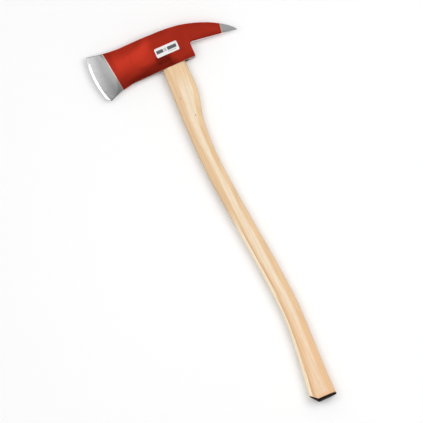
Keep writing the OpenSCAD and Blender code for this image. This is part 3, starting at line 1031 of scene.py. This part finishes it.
def label_look():
    """White vinyl with plain printed bars in place of lettering: two dark, one pale and a thin line."""
    look = Look("label_vinyl", Coat_Weight=0.3, Coat_Roughness=0.12, Specular_IOR_Level=0.4)
    x, y, _ = look.axes()
    u = look.minus(x, label_c[0] * MM)
    v = look.minus(y, label_c[1] * MM)

    def bar(u0, u1, v0, v1):
        """1 inside a printed bar, given its limits in mm from the label's middle."""
        soft = 0.00012
        across = look.times(look.step(u, u0 * MM - soft, u0 * MM + soft),
                            look.step(u, u1 * MM + soft, u1 * MM - soft))
        up = look.times(look.step(v, v0 * MM - soft, v0 * MM + soft),
                        look.step(v, v1 * MM + soft, v1 * MM - soft))
        return look.times(across, up)

    dark = look.math("MAXIMUM", bar(-24.5, -8.5, -2.8, 5.2), bar(1.8, 23.5, -2.8, 5.2))
    pale = look.math("MAXIMUM", bar(-6.6, -0.6, -2.8, 5.2), bar(1.8, 20, -6.9, -4.9))
    paper = look.ramp(look.noise(90, 3, 0.5), (0.3, (0.74, 0.72, 0.715)), (0.7, (0.81, 0.80, 0.795)))
    ink = look.ramp(look.noise(1500, 2, 0.6), (0.35, (0.06, 0.062, 0.068)), (0.7, (0.13, 0.132, 0.14)))
    colour = look.mix(look.times(pale, 0.55), paper, (0.2, 0.2, 0.22, 1))
    colour = look.mix(dark, colour, ink)
    ripples = look.noise(130, 2, 0.5)
    look.bumps((ripples, 0.08, 0.0005), (look.noise(1800, 2, 0.5), 0.06, 0.00004))
    return look.set(Base_Color=colour, Roughness=look.step(ripples, 0.3, 0.7, 0.28, 0.4))


ASH = dict(
    sap=(0.98, 0.82, 0.60), pale=(0.83, 0.72, 0.56), light=(0.83, 0.61, 0.38),
    mid=(0.72, 0.48, 0.27), dark=(0.46, 0.26, 0.12), warm_tone=(0.80, 0.50, 0.28),
)
OAK = dict(
    sap=(0.46, 0.28, 0.15), pale=(0.46, 0.28, 0.15), light=(0.46, 0.27, 0.13),
    mid=(0.36, 0.20, 0.09), dark=(0.20, 0.10, 0.045), warm_tone=(0.40, 0.22, 0.10),
)
piece(head, steel_look(), ["axe_head"])
piece(coat, enamel_look(), ["head_enamel"])
ash = wood_look("ash_wood", end_cut=(0.46, 0.30, 0.16), coat=0.15, **ASH)
piece(handle, ash, ["handle"])
piece(seal, seal_look(), ["end_seal"])
oak = wood_look("wedge_wood", end_cut=(0.26, 0.14, 0.07), coat=0.0, **OAK)
piece(wood_wedge, oak, ["wooden_wedge"])
wedge_steel = wedge_steel_look()
for wedge, node in zip(steel_wedges, ("steel_wedge_front", "steel_wedge_rear")):
    piece(wedge, wedge_steel, [node])
piece(label, label_look(), ["label"])

# ---------------------------------------------------------------- floor, light and camera
FLOOR_HALF = 6.0
FLOOR_Z = -0.0004
floor_mesh = bpy.data.meshes.new("floor")
floor_signs = [(-1, -1), (1, -1), (1, 1), (-1, 1)]
floor_corners = [(sx * FLOOR_HALF, sy * FLOOR_HALF, FLOOR_Z) for sx, sy in floor_signs]
floor_mesh.from_pydata(floor_corners, [], [(0, 1, 2, 3)])
floor = bpy.data.objects.new("floor", floor_mesh)
bpy.context.scene.collection.objects.link(floor)
floor_look = Look("pale_floor", Roughness=0.9, Specular_IOR_Level=0.1, Emission_Color=(1, 1, 1, 1),
                  Emission_Strength=0.05)
tone = floor_look.ramp(floor_look.noise(0.6, 2, 0.5), (0.3, grey(0.84)), (0.7, grey(0.86)))
floor.data.materials.append(floor_look.set(Base_Color=tone))


def softbox(name, place, aim, size, watts):
    """A rectangular light. For one at -X of its aim, size runs along world Y first, then up."""
    light = bpy.data.lights.new(name, "AREA")
    light.shape = "RECTANGLE"
    light.size, light.size_y = size
    light.energy = watts
    obj = bpy.data.objects.new(name, light)
    obj.location = place
    obj.rotation_euler = (Vector(aim) - Vector(place)).to_track_quat("-Z", "Y").to_euler()
    obj.visible_camera = False
    bpy.context.scene.collection.objects.link(obj)
    return obj


CENTRE = (-0.01, -0.41, 0.018)
key = softbox("key_box", (1.75, -0.6, 3.5), CENTRE, (2.5, 2.5), 74)
key.visible_glossy = False
fill = softbox("fill_box", (-0.95, -0.6, 3.6), CENTRE, (3.4, 3.4), 59)
fill.visible_glossy = False
softbox("left_box", (-0.9, 0.72, 2.75), (-0.1, 0.0, 0), (0.75, 0.5), 4.0)
softbox("hone_box", (-1.41, 0.10, 2.42), (-0.17, 0.0, 0), (1.25, 0.45), 2.7)
softbox("pick_box", (1.15, 0.35, 2.9), (0.15, 0.02, 0), (0.5, 0.5), 0.8)

# A grey studio sky: even near the horizon, and overhead brightest just past the middle of Y.
world = bpy.data.worlds.new("studio")
bpy.context.scene.world = world
world.use_nodes = True
sky = world.node_tree
way = sky.nodes.new("ShaderNodeTexCoord").outputs["Generated"]
split = sky.nodes.new("ShaderNodeSeparateXYZ")
sky.links.new(way, split.inputs[0])
shift_up = sky.nodes.new("ShaderNodeMapRange")
shift_up.inputs["From Min"].default_value = -1.0
fall = sky.nodes.new("ShaderNodeValToRGB")
SKY = [(-0.5, 0.07), (-0.12, 0.2), (0.14, 0.46), (0.36, 0.34), (0.8, 0.30)]
while len(fall.color_ramp.elements) < len(SKY):
    fall.color_ramp.elements.new(0.5)
for element, (along_y, level) in zip(fall.color_ramp.elements, SKY):
    element.position = (along_y + 1) / 2
    element.color = (level, level, level, 1)
fall.color_ramp.interpolation = "B_SPLINE"
sky.links.new(split.outputs["Y"], shift_up.inputs["Value"])
sky.links.new(shift_up.outputs["Result"], fall.inputs["Fac"])
high = sky.nodes.new("ShaderNodeMapRange")
high.interpolation_type = "SMOOTHSTEP"
for key_name, value in (("From Min", 0.5), ("From Max", 0.82)):
    high.inputs[key_name].default_value = value
sky.links.new(split.outputs["Z"], high.inputs["Value"])
blend = sky.nodes.new("ShaderNodeMix")
blend.data_type = "RGBA"
blend.inputs[6].default_value = (0.46, 0.46, 0.46, 1)
sky.links.new(high.outputs["Result"], blend.inputs[0])
sky.links.new(fall.outputs["Color"], blend.inputs[7])
sky.links.new(blend.outputs[2], sky.nodes["Background"].inputs["Color"])

AZIMUTH = math.radians(-24.0)
ELEVATION = math.radians(81.0)
FRAME_W = 0.9555
LENS = 900.0
SENSOR = 36.0
SHIFT = Vector((-0.0511, 0.02765, 0))
middle = (cad_bounds[0] + cad_bounds[1]) / 2
look_at = Vector((middle.x, middle.y, MID_Z * MM)) + SHIFT
level_out = math.cos(ELEVATION)
forward = Vector((-math.sin(AZIMUTH) * level_out, math.cos(AZIMUTH) * level_out, -math.sin(ELEVATION)))
data = bpy.data.cameras.new("camera")
data.lens = LENS
data.sensor_width = SENSOR
data.clip_end = 100
camera = bpy.data.objects.new("camera", data)
camera.location = look_at - forward * (FRAME_W * LENS / SENSOR)
camera.rotation_euler = forward.to_track_quat("-Z", "Y").to_euler()
bpy.context.scene.collection.objects.link(camera)
bpy.context.scene.camera = camera
bpy.context.scene.view_settings.view_transform = "Standard"
